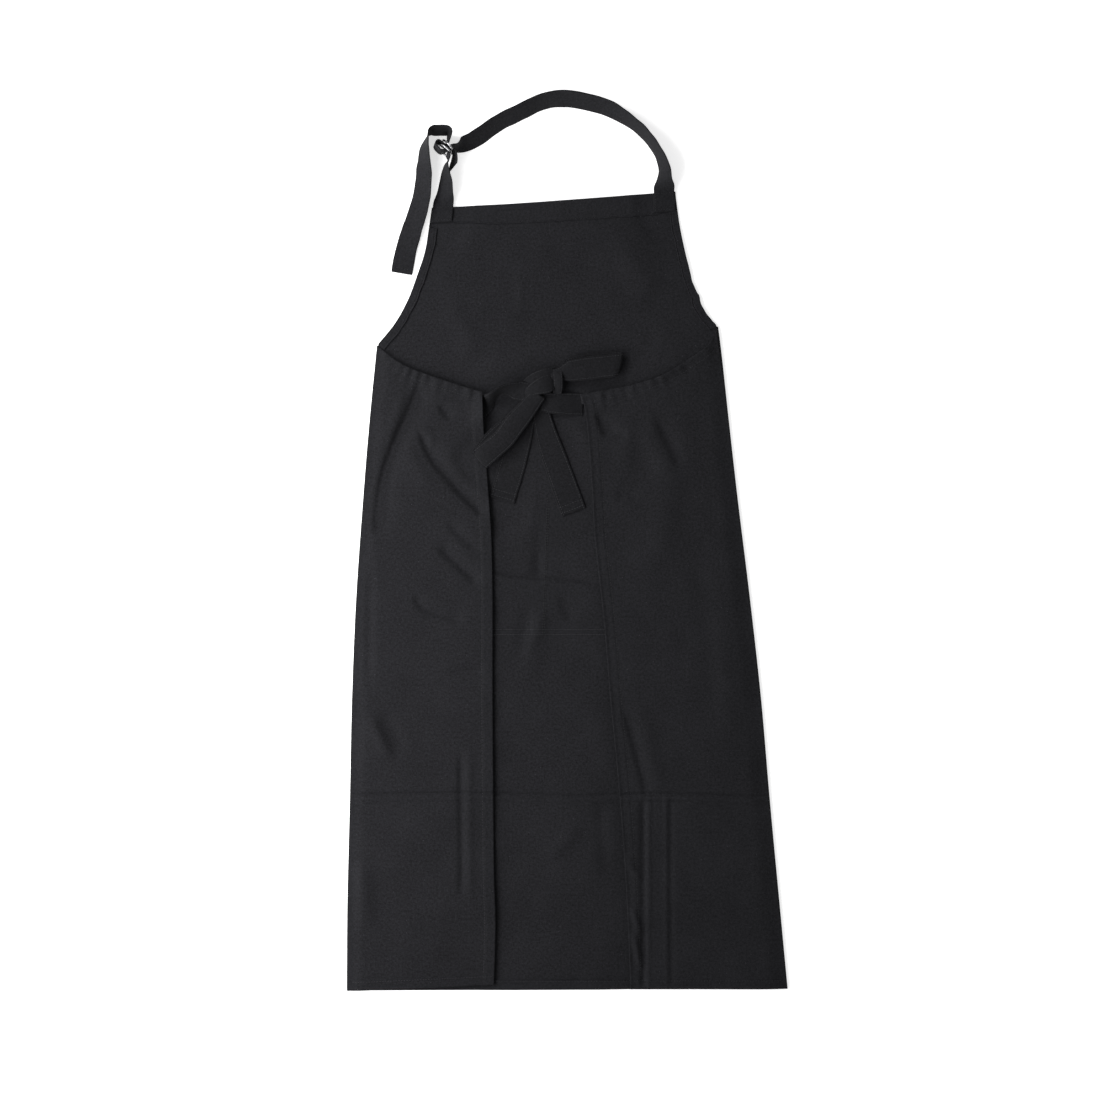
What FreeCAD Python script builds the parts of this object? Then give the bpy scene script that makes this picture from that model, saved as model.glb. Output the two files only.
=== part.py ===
import FreeCAD, Part
import os
from math import cos, radians, sin

# Bib apron of cotton twill, lying flat on a table with its inner side up. +Y runs from the hem to
# the neck strap, +X is to the right as seen from above, and z = 0 is the table. The side panels
# are folded over to the back and tied in a bow. All sizes are in millimetres.

V = FreeCAD.Vector

# Cloth and stack heights, from the table up
CLOTH = 0.5
TURNED = 2 * CLOTH              # a hem turned twice adds two layers
SLACK = 0.5                     # air between the front panel's hems and the flaps' hems
POCKET_Z = 0.0
FRONT_Z = POCKET_Z + 2 * CLOTH
HEM_Z = FRONT_Z + CLOTH
FLAP_HEM_Z = HEM_Z + TURNED + SLACK
FLAP_Z = FLAP_HEM_Z + TURNED
TOP_Z = FLAP_Z + CLOTH
FOLD_RADIUS = (TOP_Z - FRONT_Z) / 2

# Hems and pocket
BIB_HEM = 25.0
ARMHOLE_HEM = 10.0
SIDE_HEM = 12.0
BOTTOM_HEM = 12.0
POCKET_WIDTH = 300.0
POCKET_HEIGHT = 196.0
POCKET_TOP = 81.0
POCKET_MIDDLE = -27.0
POCKET_HEM = 25.0
POCKET_TURNING = 10.0
DIVIDER_SEAM = 2.0

# Straps, ties and rings
STRAP_WIDTH = 25.0
STRAP = 1.6
TIE = 1.2
TAIL = 1.0
RING_WIRE = 2.5
RING_INSIDE = 26.0
RING_LEG = 3.0                  # straight part of each side, from the bar
RING_CORNER = 2.5
RING_SPREAD = 1.9               # each bar's distance from the pair's middle
RING_SPLAY = 6.0                # degrees that each ring leans away from the other

# Clearances between parts that move
LEAF = 4.5                      # distance from a fold's end to its hinge line
GAP = 0.4

# Outlines, as points that a smooth curve passes through
BIB_TOP = [(-165, 407), (-67, 412), (33, 419), (107, 425), (131.5, 427)]
LEFT_ARMHOLE = [(-165, 407), (-168.5, 383), (-173.5, 353), (-183, 324), (-194, 295), (-210, 266),
                (-232, 239)]
RIGHT_ARMHOLE = [(131.5, 427), (137.5, 383), (147, 339), (156, 309), (168, 280), (184, 262)]
LEFT_FOLD = [(-232, 239), (-241, 148), (-249, 51), (-257.5, -71), (-262.5, -193), (-265, -315),
             (-268, -437), (-268.7, -547)]
RIGHT_FOLD = [(184, 262), (189, 222), (197, 148), (208, 51), (223, -71), (236.5, -193),
              (247, -315), (258.5, -437), (268.7, -544.5)]
LEFT_FLAP_TOP = [(-232, 239), (-204, 218), (-178, 206), (-130, 190), (-103.5, 182)]
RIGHT_FLAP_TOP = [(184, 262), (170.5, 239), (145, 220.5), (117, 203.5), (80, 191), (37.5, 183),
                  (15.5, 179.5)]
LEFT_FLAP_EDGE = [(-103.5, 182), (-101.5, 130), (-96, 57), (-92.4, 2), (-91, -71), (-91, -189),
                  (-89.4, -393), (-87.5, -465), (-89.4, -539)]
RIGHT_FLAP_EDGE = [(15.5, 179.5), (23, 153), (30, 70), (34, 2), (45, -99), (52, -186),
                   (63, -300), (71.7, -421), (77.2, -544.5)]
# Heights where each side fold is divided, so that every length of it is nearly straight
FOLD_BREAKS = [-10.0, -270.0]
# The bib's top edge, where the neck strap and the ring strap bend
NECK_HINGE_FROM = (-151, 408)
NECK_HINGE_TO = (118, 426.3)
NECK_HINGE_HEADING = 93.9

# Ring frame: the bars stand almost upright, and the rings reach out to the upper left
RING_BAR = V(-142.2, 471.5, 16.5)
RING_HEADING = 133.0
RING_LEAN = 10.0
RING_OUT = V(cos(radians(RING_HEADING)), sin(radians(RING_HEADING)), 0)
RING_SIDE = V(RING_OUT.y, -RING_OUT.x, 0)
RING_UP = RING_SIDE * sin(radians(RING_LEAN)) + V(0, 0, 1) * cos(radians(RING_LEAN))
RING_AXLE = RING_SIDE * cos(radians(RING_LEAN)) - V(0, 0, 1) * sin(radians(RING_LEAN))


def between(a, b, c, d, t):
    """A point on the smooth curve from b to c, of curve points a, b, c, d. Any number of coordinates."""
    return tuple(
        0.5 * (2 * q + (r - p) * t + (2 * p - 5 * q + 4 * r - s) * t * t
               + (3 * q - p - 3 * r + s) * t ** 3)
        for p, q, r, s in zip(a, b, c, d)
    )


def smooth(points, steps=4):
    """The points of a smooth curve through the given ones, with steps to each span."""
    ends = [points[0]] + list(points) + [points[-1]]
    curve = [
        between(*ends[i:i + 4], step / steps)
        for i in range(len(points) - 1)
        for step in range(steps)
    ]
    return curve + [tuple(points[-1])]


def prism(outline, low, high):
    """A flat piece of cloth: the outline's area, from height low to height high."""
    corners = [V(x, y, low) for x, y in outline]
    face = Part.Face(Part.makePolygon(corners + corners[:1]))
    return face.extrude(V(0, 0, high - low))


def inset(line, width):
    """The line moved to its left by width."""
    moved = []
    for i, (x, y) in enumerate(line):
        before = line[max(i - 1, 0)]
        after = line[min(i + 1, len(line) - 1)]
        along = V(after[0] - before[0], after[1] - before[1], 0).normalize()
        moved.append((x - along.y * width, y + along.x * width))
    return moved


def band(line, width, low, high):
    """A hem: a band of cloth along a line, on its left."""
    return prism(line + inset(line, width)[::-1], low, high)


def solid_of(faces):
    """A closed solid of flat faces, each given by its corners."""
    shell = Part.Shell([Part.Face(Part.makePolygon(list(f) + [f[0]])) for f in faces])
    solid = Part.Solid(shell)
    if solid.Volume < 0:
        solid.reverse()
    return solid


def skin(rings):
    """A closed solid through a row of rings of points, with flat triangles between them."""
    faces = [rings[0][::-1], rings[-1]]
    for near, far in zip(rings, rings[1:]):
        for i in range(len(near)):
            j = (i + 1) % len(near)
            faces.append((near[i], near[j], far[j]))
            faces.append((near[i], far[j], far[i]))
    return solid_of(faces)


def ribbon(stations, thickness, steps=3):
    """A strap. Each station is x, y, z, heading, tilt and width. The strap's width lies to the left
    of the heading, and tilt raises its left edge."""
    rings = []
    path = smooth(stations, steps)
    for i, (x, y, z, heading, tilt, width) in enumerate(path):
        before = V(*path[max(i - 1, 0)][:3])
        after = V(*path[min(i + 1, len(path) - 1)][:3])
        h = radians(heading)
        t = radians(tilt)
        across = V(-sin(h) * cos(t), cos(h) * cos(t), sin(t))
        up = (after - before).cross(across).normalize() * (thickness / 2)
        side = across * (width / 2)
        middle = V(x, y, z)
        rings.append([middle + side + up, middle - side + up, middle - side - up,
                      middle + side - up])
    return skin(rings)


def standing(x, y, heading, tilt, width=STRAP_WIDTH, thickness=STRAP):
    """A ribbon's station with its lower edge just above the table."""
    t = radians(tilt)
    z = abs(sin(t)) * width / 2 + cos(t) * thickness / 2 + 0.2
    return (x, y, z, heading, tilt, width)


def at_ring(side, out, width=22.0):
    """A ribbon's station beside the rings, side and out from the middle of their bars."""
    p = RING_BAR + RING_AXLE * side + RING_OUT * out
    return (p.x, p.y, p.z, RING_HEADING, RING_LEAN - 90, width)


def at_height(line, y):
    """The x of a line at a given y."""
    for (x0, y0), (x1, y1) in zip(line, line[1:]):
        if min(y0, y1) <= y <= max(y0, y1):
            return x0 + (x1 - x0) * (y - y0) / (y1 - y0)
    raise ValueError(y)


def hinge_line(fold, inward):
    """The straight hinge line of a flap, inside its fold."""
    return [(fold[0][0] + inward * LEAF, fold[0][1]), (fold[-1][0] + inward * LEAF, fold[-1][1])]


def bend(side, fold, inward, top):
    """The folded side of the apron in three lengths, end to end. Each is half-round in section, with a
    narrow leaf above that reaches the flap's hinge line."""
    hinge = hinge_line(fold, inward)
    line = smooth(fold)
    middle = (FRONT_Z + TOP_Z) / 2
    outer = [(radians(a), FOLD_RADIUS) for a in range(-90, 91, 30)]
    inner = [(radians(a), FOLD_RADIUS - CLOTH) for a in range(90, -91, -30)]

    def section(x, y):
        centre = x + inward * FOLD_RADIUS
        leaf = at_height(hinge, y) - inward * GAP / 2
        arc = [V(centre - inward * r * cos(a), y, middle + r * sin(a)) for a, r in outer]
        back = [V(centre - inward * r * cos(a), y, middle + r * sin(a)) for a, r in inner]
        return arc + [V(leaf, y, TOP_Z), V(leaf, y, FLAP_Z)] + back

    heights = [top] + FOLD_BREAKS + [fold[-1][1]]
    made = {}
    for name, high, low in zip(("upper", "middle", "lower"), heights, heights[1:]):
        inside = [p for p in line if low < p[1] < high]
        first = (at_height(line, high), high)
        last = (at_height(line, low), low)
        made[f"{side}_fold_{name}"] = skin([section(*p) for p in [first] + inside + [last]])
    return made


def front_side(fold, inward):
    """The line where the flat front panel ends and its fold begins."""
    return [(x + inward * FOLD_RADIUS, y) for x, y in smooth(fold)]


def front_area(low, high):
    """The bib and the front panel, down to the hem and out to the folds."""
    left = front_side(LEFT_FOLD, 1)
    right = front_side(RIGHT_FOLD, -1)
    outline = smooth(BIB_TOP) + smooth(RIGHT_ARMHOLE)[1:-1] + right + left[::-1]
    return prism(outline + smooth(LEFT_ARMHOLE)[-2:0:-1], low, high)


def front_hems():
    """The hems on the inner side of the bib and of the front panel."""
    area = front_area(HEM_Z, HEM_Z + TURNED)
    top = band(smooth(BIB_TOP)[::-1], BIB_HEM, HEM_Z, HEM_Z + TURNED).common(area)
    left_line = [p for p in smooth(LEFT_ARMHOLE) if p[1] > 243]
    right_line = [p for p in smooth(RIGHT_ARMHOLE)[::-1] if p[1] > 266]
    left = band(left_line, ARMHOLE_HEM, HEM_Z, HEM_Z + TURNED).common(area).cut(top)
    right = band(right_line, ARMHOLE_HEM, HEM_Z, HEM_Z + TURNED).common(area).cut(top)
    corners = [(LEFT_FOLD[-1][0] + FOLD_RADIUS + TURNED, LEFT_FOLD[-1][1]),
               (RIGHT_FOLD[-1][0] - FOLD_RADIUS - 2 * TURNED, RIGHT_FOLD[-1][1])]
    bottom = band(corners, BOTTOM_HEM, HEM_Z, HEM_Z + TURNED).common(area)
    return {"bib_top_hem": top, "left_armhole_hem": left, "right_armhole_hem": right,
            "front_bottom_hem": bottom}


def pocket():
    """The pocket on the front side: its panel, the hem at its mouth, the edges turned in round it
    and the seam that divides it."""
    left = POCKET_MIDDLE - POCKET_WIDTH / 2
    right = POCKET_MIDDLE + POCKET_WIDTH / 2
    bottom = POCKET_TOP - POCKET_HEIGHT
    turn = POCKET_TURNING
    low = POCKET_Z + CLOTH

    def piece(x0, x1, y0, y1, z0=low, z1=FRONT_Z):
        return prism([(x0, y0), (x1, y0), (x1, y1), (x0, y1)], z0, z1)

    hem = piece(left + turn, right - turn, POCKET_TOP - POCKET_HEM, POCKET_TOP)
    lower = piece(left, right, bottom, bottom + turn)
    seam = band([(-23, POCKET_TOP), (-30, bottom)], DIVIDER_SEAM, low, FRONT_Z)
    inside = piece(left, right, bottom + turn, POCKET_TOP - POCKET_HEM)
    return {"pocket_panel": piece(left, right, bottom, POCKET_TOP, POCKET_Z, low),
            "pocket_top_hem": hem,
            "pocket_bottom_turning": lower,
            "pocket_left_turning": piece(left, left + turn, bottom + turn, POCKET_TOP),
            "pocket_right_turning": piece(right - turn, right, bottom + turn, POCKET_TOP),
            "pocket_divider_seam": seam.common(inside)}


def flap(side, fold, inward, top_line, edge_line):
    """A side panel, folded over to the back, with the hems on its inner side."""
    top_curve = smooth(top_line)
    edge_curve = smooth(edge_line)
    outline = top_curve + edge_curve[1:] + [tuple(fold[-1])] + smooth(fold)[-2:0:-1]
    hinge = [(x + inward * GAP / 2, y) for x, y in hinge_line(fold, inward)]
    beyond = hinge[0][0] + inward * 400
    space = prism([hinge[0], (beyond, hinge[0][1]), (beyond, -600),
                   (hinge[1][0], -600), hinge[1]], 0, TOP_Z + 1)
    area = prism(outline, FLAP_HEM_Z, FLAP_Z).common(space)
    way = -int(inward)
    bottom_line = [edge_curve[-1], tuple(fold[-1])][::way]
    top_hem = band(top_curve[::way], SIDE_HEM, FLAP_HEM_Z, FLAP_Z).common(area)
    bottom_hem = band(bottom_line, BOTTOM_HEM, FLAP_HEM_Z, FLAP_Z).common(area)
    side_hem = band(edge_curve[::way], SIDE_HEM, FLAP_HEM_Z, FLAP_Z).common(area)
    return {side + "_flap_panel": prism(outline, FLAP_Z, TOP_Z).common(space),
            side + "_flap_top_hem": top_hem,
            side + "_flap_side_hem": side_hem.cut(top_hem).cut(bottom_hem),
            side + "_flap_bottom_hem": bottom_hem}


def sewn_ends():
    """The four strap and tie ends that are stitched down flat."""
    strap_z = HEM_Z + TURNED
    ring_end = [(-165, 406.7), (-137.5, 408.6), (-141.5, 388.8), (-166, 387.6)]
    neck_end = [(106, 425.1), (105, 398.6), (131, 406), (130.5, 426.6)]
    left_end = [(-128, 181), (-103.2, 176), (-102.4, 148), (-128, 151)]
    right_end = [(15.4, 178.5), (42, 177), (42, 152), (15.4, 154)]
    tie_top = FLAP_HEM_Z
    return {"ring_strap_end": prism(ring_end, strap_z, strap_z + STRAP),
            "neck_strap_end": prism(neck_end, strap_z, strap_z + STRAP),
            "left_tie_end": prism(left_end, tie_top - TIE, tie_top),
            "right_tie_end": prism(right_end, tie_top - TIE, tie_top)}


def neck_strap():
    """The long strap: up from the bib, round the arch, through both rings, back over the outer ring
    and out through the inner one."""
    sewn_z = HEM_Z + TURNED + STRAP / 2
    arch = [
        (118, 427.0, sewn_z, NECK_HINGE_HEADING, -2, 24),
        (118, 433, 5.4, 93, -16, 25),
        standing(118, 441, 92, -47),
        standing(118, 454, 97, -60),
        standing(114, 466, 110, -68),
        standing(107, 479, 124, -71),
        standing(93, 497, 132, -68),
        standing(75, 512, 142, -63),
        standing(50, 527, 154, -50),
        standing(23, 535, 167, -47),
        standing(-3, 539, 181, -47),
        standing(-29, 535.5, 196, -50),
        standing(-56, 523, 206, -50),
        standing(-84, 509, 213, -49),
        standing(-109, 491.5, 210, -48),
        standing(-124, 484, 200, -52),
    ]
    rings = [
        at_ring(9.5, 1.4), at_ring(5.5, 4.4), at_ring(1.5, 6.0), at_ring(-4, 6.6),
        at_ring(-7.4, 9.4), at_ring(-8.0, 13.0, 20), at_ring(-8.0, 17.0, 20),
        at_ring(-6.9, 20.0, 20), at_ring(-4.0, 21.3, 20), at_ring(-1.2, 20.2, 20),
        at_ring(-0.2, 16.6, 19), at_ring(0.2, 12.4, 19), at_ring(2.8, 9.0, 19),
        at_ring(6.2, 9.6, 20),
    ]
    rise = [
        (-146.2, 491, 14.2, 100, -76, 23),
        standing(-146.2, 497, 96, -74),
        standing(-147.6, 500.9, 138, -72),
        standing(-151.2, 502, 176, -70),
        standing(-156.2, 502, 180, -70),
    ]
    return ribbon(arch + rings + rise, STRAP)


def ring_strap():
    """The short strap that holds both rings by their bars."""
    sewn_z = HEM_Z + TURNED + STRAP / 2
    path = [
        (-151.3, 408.7, sewn_z, NECK_HINGE_HEADING, 0, 24),
        (-150.5, 415, 4.6, 92, -12, 24.5),
        standing(-148.8, 424, 88, -36),
        standing(-147.4, 437, 88, -50),
        (-147.4, 449, 12.4, 90, -68, 24.5),
        (-145.6, 460, 15.4, 104, -82, 24),
        at_ring(-5.0, -4.6, 24), at_ring(-4.4, -1.2, 24), at_ring(-3.4, 1.9, 24),
        at_ring(0, 2.7, 24), at_ring(3.4, 1.9, 24), at_ring(4.4, -1.2, 24),
        at_ring(3.2, -6, 24), at_ring(-0.6, -11, 24),
        (-138.9, 453.6, 15.6, 294, -64, 24),
    ]
    return ribbon(path, TIE)


def d_ring(side):
    """A D-ring of round wire, with its bar upright in the ring strap's eye. side is +1 for the inner
    ring, nearer the arch, and -1 for the outer one."""
    middle = RING_BAR + RING_AXLE * (side * RING_SPREAD)
    splay = radians(side * RING_SPLAY)
    out = RING_OUT * cos(splay) + RING_AXLE * sin(splay)
    half = (RING_INSIDE + RING_WIRE) / 2
    c = RING_CORNER

    def at(up, depth):
        return middle + RING_UP * up + out * depth

    slant = 1 - cos(radians(45))
    edges = [
        Part.LineSegment(at(c - half, 0), at(half - c, 0)),
        Part.Arc(at(half - c, 0), at(half - c * slant, c * slant), at(half, c)),
        Part.LineSegment(at(half, c), at(half, RING_LEG)),
        Part.Arc(at(half, RING_LEG), at(0, RING_LEG + half), at(-half, RING_LEG)),
        Part.LineSegment(at(-half, RING_LEG), at(-half, c)),
        Part.Arc(at(-half, c), at(c * slant - half, c * slant), at(c - half, 0)),
    ]
    path = Part.Wire([edge.toShape() for edge in edges])
    wire = Part.Wire(Part.makeCircle(RING_WIRE / 2, at(c - half, 0), RING_UP))
    return path.makePipeShell([wire], True, False)


def neck_strap_tail():
    """The strap's free end: it turns back on edge, then lies down flat beside the bib."""
    path = [
        standing(-157, 502, 180, -70),
        standing(-162, 502, 184, -70),
        standing(-166.4, 499.6, 214, -74),
        standing(-169.4, 494.5, 236, -79),
        standing(-171.2, 488, 248, -74),
        standing(-173.6, 478, 256, -62),
        standing(-174.2, 464, 264, -51),
        standing(-174.6, 446, 268, -38),
        standing(-176.3, 426, 263, -32),
        standing(-181, 405, 257, -24),
        standing(-188.5, 382, 252, -16),
        standing(-195, 361, 252, -5),
        standing(-199.3, 342, 258, 0),
        standing(-202, 326.5, 261, 0),
    ]
    return ribbon(path, STRAP)


def knot():
    """The bow's knot, a flattened ball of wrapped tie."""
    centre = V(-33, 190, 9.2)
    half = (19.5, 13, 6.8)
    tilt = radians(15)
    rings = []
    for level in (-0.97, -0.75, -0.35, 0.1, 0.5, 0.8, 0.97):
        r = (1 - level * level) ** 0.4
        ring = []
        for step in range(16):
            a = radians(step * 22.5)
            x = half[0] * r * cos(a)
            y = half[1] * r * sin(a)
            ring.append(centre + V(x * cos(tilt) - y * sin(tilt), x * sin(tilt) + y * cos(tilt),
                                   half[2] * level))
        rings.append(ring)
    return skin(rings)


def bow():
    left_run = [
        (-101.4, 165, 3.0, 3, 0, 27), (-96.5, 169, 6.8, 24, 24, 22), (-89, 178, 11.4, 34, 60, 19),
        (-80, 184.5, 12.0, 20, 64, 19), (-71, 185.5, 10.6, -8, 46, 21), (-62, 184, 9.6, -14, 24, 22),
        (-56.5, 183.5, 9.2, -12, 18, 20),
    ]
    right_run = [
        (-12.5, 168.2, 6.6, -3, 0, 25), (-5, 168, 5.8, -3, 0, 26), (4, 167.8, 4.4, -3, 0, 27),
        (14.9, 167.4, 2.6, 0, 0, 27),
    ]
    upper = [
        (-9.5, 204.5, 9.6, 10, 0, 14), (-2, 207.5, 8.6, 10, 0, 23), (6, 210.5, 7.6, 8, 0, 28),
        (24, 213.5, 6.2, 7, 0, 28), (46, 215.5, 6.0, 5, 0, 28), (60, 216.5, 6.4, -6, 0, 28),
        (66, 216, 9.4, -12, 0, 28), (60, 214.9, 12.4, -8, 0, 27), (44, 212.9, 13.6, 5, 0, 27),
        (22, 210.3, 13.2, 6, 0, 27), (6, 208, 12.6, 8, 0, 25), (-2, 206, 12.4, 10, 0, 20),
        (-9.5, 204.5, 12.0, 10, 0, 14),
    ]
    lower = [
        (-41, 171.5, 8.8, 232, 0, 18), (-52, 158, 7.4, 230, 0, 24), (-64.5, 143.5, 6.4, 228, 0, 27),
        (-80.5, 130.5, 6.2, 226, 0, 27), (-92.5, 118.5, 6.2, 225, 0, 27),
        (-102.5, 106, 6.5, 223, 0, 27), (-107.5, 99, 9.2, 221, 0, 27), (-103, 103.5, 12.0, 222, 0, 27),
        (-93, 111.5, 13.0, 226, 0, 26.5), (-77, 125.5, 13.6, 230, 0, 25.5),
        (-64.6, 142.4, 13.6, 228, 0, 26), (-52.4, 157, 12.6, 230, 0, 23.5),
        (-41, 171.5, 11.2, 232, 0, 18),
    ]
    left_tail = [
        (-47, 168.5, 2.9, 258, 0, 22), (-52, 152, 2.2, 254, 0, 26), (-58, 128, 2.1, 253, 0, 30),
        (-68, 90, 2.1, 254.5, 0, 31), (-80, 49, 2.1, 254.5, 0, 31),
    ]
    right_tail = [
        (-34, 171, 4.8, 282, 0, 18), (-30, 148, 4.1, 286, 0, 22), (-23, 122, 3.7, 290, 0, 27),
        (-14.5, 99, 3.1, 290, 0, 29), (-5, 72, 2.2, 290.5, 0, 30), (8.5, 35, 2.2, 291, 0, 31),
    ]
    return {"left_tie_run": ribbon(left_run, TIE), "right_tie_run": ribbon(right_run, TIE),
            "bow_knot": knot(), "upper_bow_loop": ribbon(upper, TIE),
            "lower_bow_loop": ribbon(lower, TIE), "left_tie_tail": ribbon(left_tail, TAIL),
            "right_tie_tail": ribbon(right_tail, TAIL)}


nodes = {
    "front_panel": front_area(FRONT_Z, HEM_Z),
    "neck_strap": neck_strap(),
    "ring_strap": ring_strap(),
    "inner_d_ring": d_ring(1),
    "outer_d_ring": d_ring(-1),
    "neck_strap_tail": neck_strap_tail(),
}
nodes.update(bend("left", LEFT_FOLD, 1, 235))
nodes.update(bend("right", RIGHT_FOLD, -1, 254))
nodes.update(front_hems())
nodes.update(pocket())
nodes.update(flap("left", LEFT_FOLD, 1, LEFT_FLAP_TOP, LEFT_FLAP_EDGE))
nodes.update(flap("right", RIGHT_FOLD, -1, RIGHT_FLAP_TOP, RIGHT_FLAP_EDGE))
nodes.update(sewn_ends())
nodes.update(bow())

os.makedirs("parts", exist_ok=True)
for name, shape in nodes.items():
    shape.exportStep(f"parts/{name}.step")
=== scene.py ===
from math import cos, pi, radians, sin, sqrt

import bpy
import numpy as np
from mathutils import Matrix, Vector


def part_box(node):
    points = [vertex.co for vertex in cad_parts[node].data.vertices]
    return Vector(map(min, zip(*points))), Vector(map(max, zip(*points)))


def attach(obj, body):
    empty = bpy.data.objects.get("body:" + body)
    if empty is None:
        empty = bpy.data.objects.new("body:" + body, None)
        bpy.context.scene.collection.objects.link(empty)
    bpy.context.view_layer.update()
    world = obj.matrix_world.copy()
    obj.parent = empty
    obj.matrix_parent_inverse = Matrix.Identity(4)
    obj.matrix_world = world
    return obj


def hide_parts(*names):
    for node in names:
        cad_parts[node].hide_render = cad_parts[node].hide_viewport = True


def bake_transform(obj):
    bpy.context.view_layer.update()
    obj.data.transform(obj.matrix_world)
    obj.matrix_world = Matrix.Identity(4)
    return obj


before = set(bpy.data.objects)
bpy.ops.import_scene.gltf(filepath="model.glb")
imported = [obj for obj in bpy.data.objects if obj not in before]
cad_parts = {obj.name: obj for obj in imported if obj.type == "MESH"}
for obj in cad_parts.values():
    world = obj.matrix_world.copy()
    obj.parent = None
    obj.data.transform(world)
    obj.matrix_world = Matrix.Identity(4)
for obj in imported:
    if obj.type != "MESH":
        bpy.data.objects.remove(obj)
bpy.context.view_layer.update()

# A black twill bib apron lying flat with its inner side up. Shapes are worked out in millimetres,
# in the frame's axes, and become metres where a mesh is made.

MM = 0.001


# ---------- sizes, from the frame where it has them

def low(node):
    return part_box(node)[0] / MM


def high(node):
    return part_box(node)[1] / MM


CLOTH = high("front_panel").z - low("front_panel").z
TURNED = high("bib_top_hem").z - low("bib_top_hem").z
FRONT_Z = low("front_panel").z + CLOTH / 2
FLAP_Z = low("left_flap_panel").z + CLOTH / 2
FOLD_RADIUS = (FLAP_Z - FRONT_Z + CLOTH) / 2
STRAP = high("neck_strap_end").z - low("neck_strap_end").z
TIE = high("left_tie_end").z - low("left_tie_end").z
STRAP_WIDTH = 25.0
BIB_HEM = 25.0
ARMHOLE_HEM = 10.0
SIDE_HEM = 12.0
BOTTOM_HEM = 12.0
FRONT_WIDTH, FRONT_LENGTH = 536.0, 795.0
FLAP_WIDTH, FLAP_LENGTH = 175.0, 785.0
ARMHOLE_LENGTH = 176.0
ON_CLOTH = CLOTH / 2 + 0.1      # a thread's height over the middle of its cloth
HEM_ROW = 1.8                   # from a hem's inner edge to its stitches
PAST = 0.01                     # takes arange past its end, so that the end is included

BIB_TOP = [(-165, 407), (-67, 412), (33, 419), (107, 425), (131.5, 427)]
LEFT_ARMHOLE = [(-165, 407), (-168.5, 383), (-173.5, 353), (-183, 324), (-194, 295), (-210, 266),
                (-232, 239)]
RIGHT_ARMHOLE = [(131.5, 427), (137.5, 383), (147, 339), (156, 309), (168, 280), (184, 262)]
LEFT_FOLD = [(-232, 239), (-241, 148), (-249, 51), (-257.5, -71), (-262.5, -193), (-265, -315),
             (-268, -437), (-268.7, -547)]
RIGHT_FOLD = [(184, 262), (189, 222), (197, 148), (208, 51), (223, -71), (236.5, -193),
              (247, -315), (258.5, -437), (268.7, -544.5)]
NECK_HINGE_HEADING = 93.9

RING_BAR = np.array([-142.2, 471.5, 16.5])
RING_HEADING = 133.0
RING_LEAN = 10.0
RING_OUT = np.array([cos(radians(RING_HEADING)), sin(radians(RING_HEADING)), 0])
RING_SIDE = np.array([RING_OUT[1], -RING_OUT[0], 0])
RING_AXLE = RING_SIDE * cos(radians(RING_LEAN)) - np.array([0, 0, sin(radians(RING_LEAN))])


# ---------- curves

def smooth(points, steps=8):
    """Points of a smooth curve through the given ones, as an array. Any number of coordinates."""
    p = np.array(points, float)
    ends = np.vstack([p[:1], p, p[-1:]])
    t = np.arange(steps)[:, None] / steps
    spans = [
        0.5 * (2 * b + (c - a) * t + (2 * a - 5 * b + 4 * c - d) * t ** 2
               + (3 * b - a - 3 * c + d) * t ** 3)
        for a, b, c, d in zip(ends, ends[1:], ends[2:], ends[3:])
    ]
    return np.vstack(spans + [p[-1:]])


def lengths(line):
    """The distance along a line to each of its points."""
    steps = np.linalg.norm(np.diff(line[:, :3], axis=0), axis=1)
    return np.concatenate([[0], np.cumsum(steps)])


def at_lengths(line, wanted):
    """The points of a line at the given distances along it."""
    s = lengths(line)
    return np.stack([np.interp(wanted, s, line[:, k]) for k in range(line.shape[1])], axis=1)


def at_shares(line, shares):
    return at_lengths(line, np.asarray(shares) * lengths(line)[-1])


def nearest(x, y, line):
    """The distance from each point to a line, and how far along the line its foot is."""
    line = np.asarray(line, float)
    start = lengths(line)
    best = np.full(np.shape(x), np.inf)
    place = np.zeros(np.shape(x))
    for (x0, y0), (x1, y1), s in zip(line, line[1:], start):
        dx, dy = x1 - x0, y1 - y0
        size = dx * dx + dy * dy
        t = np.clip(((x - x0) * dx + (y - y0) * dy) / size, 0, 1)
        d = np.hypot(x - x0 - t * dx, y - y0 - t * dy)
        closer = d < best
        best = np.where(closer, d, best)
        place = np.where(closer, s + t * sqrt(size), place)
    return best, place


def step_up(value, start, end):
    """0 before start, 1 after end, and smooth between."""
    t = np.clip((value - start) / (end - start), 0, 1)
    return t * t * (3 - 2 * t)


WAVE_COUNT = 7
WAVE_TOTAL = 3.2                # the usual height of that many waves, added up


def waves(x, y, seed, size):
    """Smooth, uneven relief between about -1 and 1, with bumps about as wide as size."""
    draw = np.random.default_rng(seed)
    total = 0
    for _ in range(WAVE_COUNT):
        turn = draw.uniform(0, 2 * pi)
        rate = pi / size * draw.uniform(0.6, 1.5)
        phase = draw.uniform(0, 2 * pi)
        total = total + np.sin((x * cos(turn) + y * sin(turn)) * rate + phase)
    return total / WAVE_TOTAL


# ---------- relief of the cloth

def soft_fold(x, y, line, width, height, fade=0.3):
    """A fold along a line, which fades over a share of its length at both ends. A pair of widths is
    for its left and right sides."""
    points = smooth(line, 6)
    away, place = nearest(x, y, points)
    if isinstance(width, tuple):
        rows = points[np.argsort(points[:, 1])]
        width = np.where(x > np.interp(y, rows[:, 1], rows[:, 0]), width[1], width[0])
    share = place / lengths(points)[-1]
    ends = step_up(share, 0, fade) * step_up(1 - share, 0, fade) if fade else 1
    return height * np.exp(-(away / width) ** 2) * ends


def folds(x, y, listed):
    return sum(soft_fold(x, y, *fold) for fold in listed)


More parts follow.
